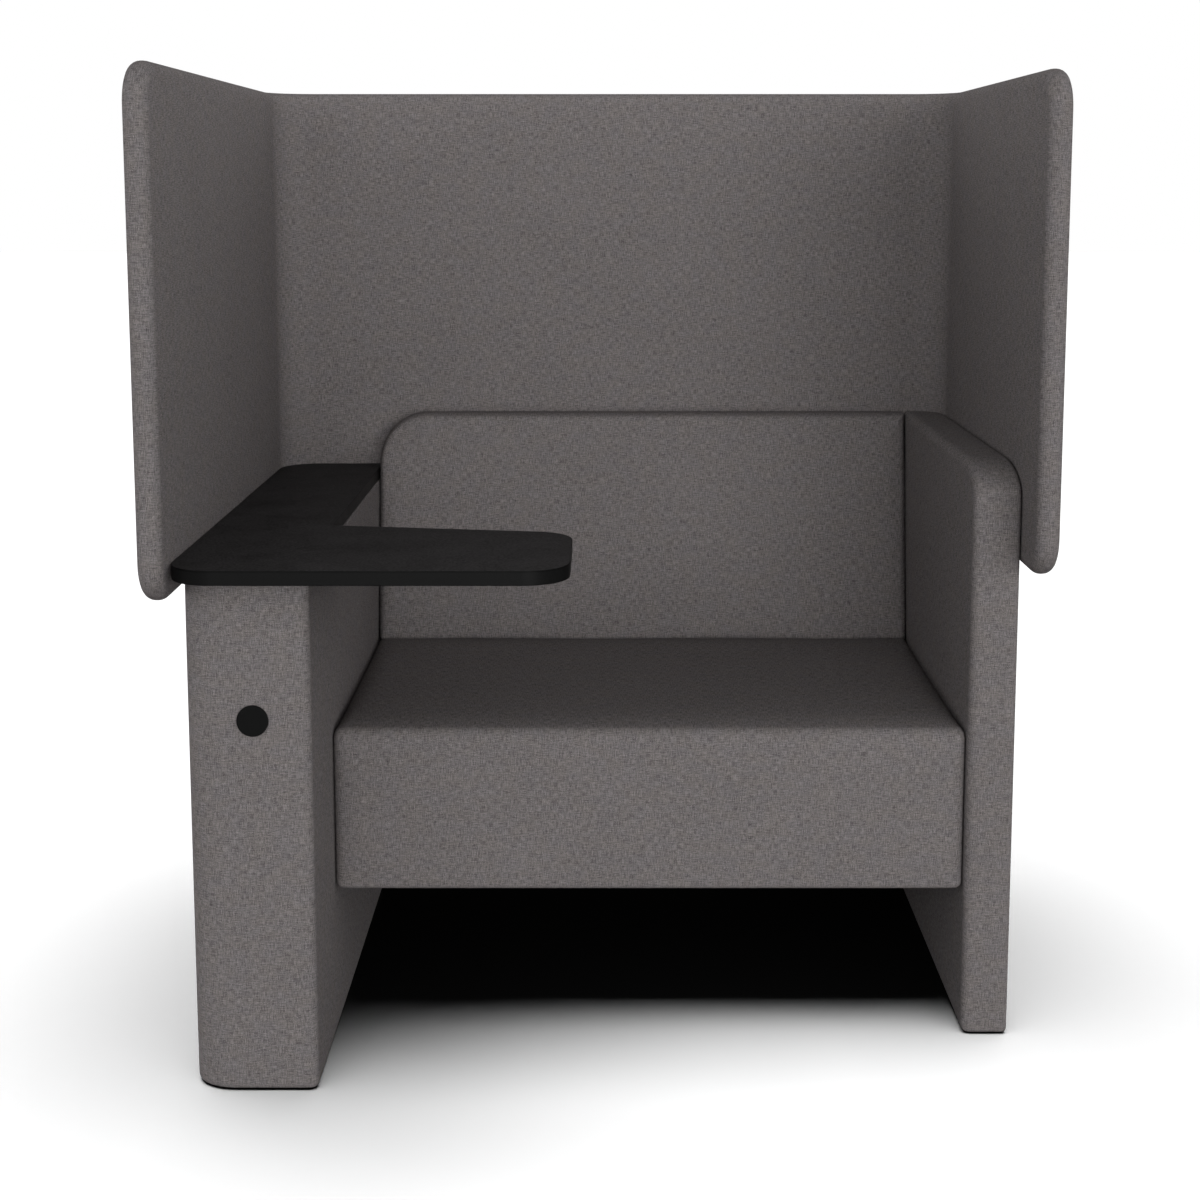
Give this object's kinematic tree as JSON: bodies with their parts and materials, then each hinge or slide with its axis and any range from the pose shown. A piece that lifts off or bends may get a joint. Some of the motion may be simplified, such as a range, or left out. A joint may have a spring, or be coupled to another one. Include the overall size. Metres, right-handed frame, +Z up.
{
  "type": "acoustic high back lounge chair",
  "caption": "Upholstered high back lounge chair with a U-shaped acoustic screen, one wide and one narrow arm, a box seat and a fixed L-shaped writing table on the wide arm.",
  "frame": {"origin": "middle of the outline in plan, on the floor under the levelling glides", "axes": "+Z up, the chair faces -Y, +X towards the narrow arm"},
  "size_m": [1.188, 0.926, 1.352],
  "materials": {
    "fabric": "warm grey melange wool-look upholstery fabric",
    "foam": "cut upholstery foam",
    "felt": "needled insulating felt",
    "webbing": "woven elastic webbing",
    "dust_cloth": "black spunbond cloth",
    "table_top": "matt black laminate",
    "table_edge": "matt black edge band",
    "black_plastic": "fine textured black moulding",
    "zinc_steel": "zinc plated",
    "brass": "turned brass",
    "plywood": "birch plywood, unfinished",
    "beech": "beech, unfinished"
  },
  "bodies": {
    "chair": {"arm_bolts": "zinc_steel", "arm_inserts": "brass", "back_cover": "fabric", "back_foam": "foam", "back_rails": "beech", "back_skins": "plywood", "back_stiles": "beech", "dust_cloth": "dust_cloth", "glide_nuts": "zinc_steel", "left_arm_cover": "fabric", "left_arm_end_boards": "plywood", "left_arm_foam": "foam", "left_arm_lid_boards": "plywood", "left_arm_posts": "beech", "left_arm_side_boards": "plywood", "outlet_sleeve": "black_plastic", "right_arm_cover": "fabric", "right_arm_end_boards": "plywood", "right_arm_foam": "foam", "right_arm_lid_boards": "plywood", "right_arm_post": "beech", "right_arm_side_boards": "plywood", "screen_bolts": "zinc_steel", "screen_core": "plywood", "screen_cover": "fabric", "screen_foam": "foam", "screen_inserts": "brass", "seat_corner_blocks": "beech", "seat_cover": "fabric", "seat_cross_rails": "beech", "seat_cross_webbing": "webbing", "seat_felt": "felt", "seat_foam": "foam", "seat_side_rails": "beech", "seat_webbing": "webbing", "table_board": "table_top", "table_bolts": "zinc_steel", "table_edge_band": "table_edge", "table_inserts": "brass", "table_packer": "plywood"},
    "glide_front_left": {"glide_pad_front_left": "black_plastic", "glide_stem_front_left": "zinc_steel"},
    "glide_rear_left": {"glide_pad_rear_left": "black_plastic", "glide_stem_rear_left": "zinc_steel"},
    "glide_front_right": {"glide_pad_front_right": "black_plastic", "glide_stem_front_right": "zinc_steel"},
    "glide_rear_right": {"glide_pad_rear_right": "black_plastic", "glide_stem_rear_right": "zinc_steel"},
    "outlet_cap": {"outlet_cap": "black_plastic"}
  },
  "joints": [
    {"name": "glide_front_left_level", "type": "slide", "parent": "chair", "child": "glide_front_left", "axis": [0, 0, 1], "range_m": [-0.01, 0]},
    {"name": "glide_rear_left_level", "type": "slide", "parent": "chair", "child": "glide_rear_left", "axis": [0, 0, 1], "range_m": [-0.01, 0]},
    {"name": "glide_front_right_level", "type": "slide", "parent": "chair", "child": "glide_front_right", "axis": [0, 0, 1], "range_m": [-0.01, 0]},
    {"name": "glide_rear_right_level", "type": "slide", "parent": "chair", "child": "glide_rear_right", "axis": [0, 0, 1], "range_m": [-0.01, 0]},
    {"name": "outlet_cap_pull", "type": "slide", "parent": "chair", "child": "outlet_cap", "axis": [0, -1, 0], "range_m": [0, 0.03]}
  ]
}
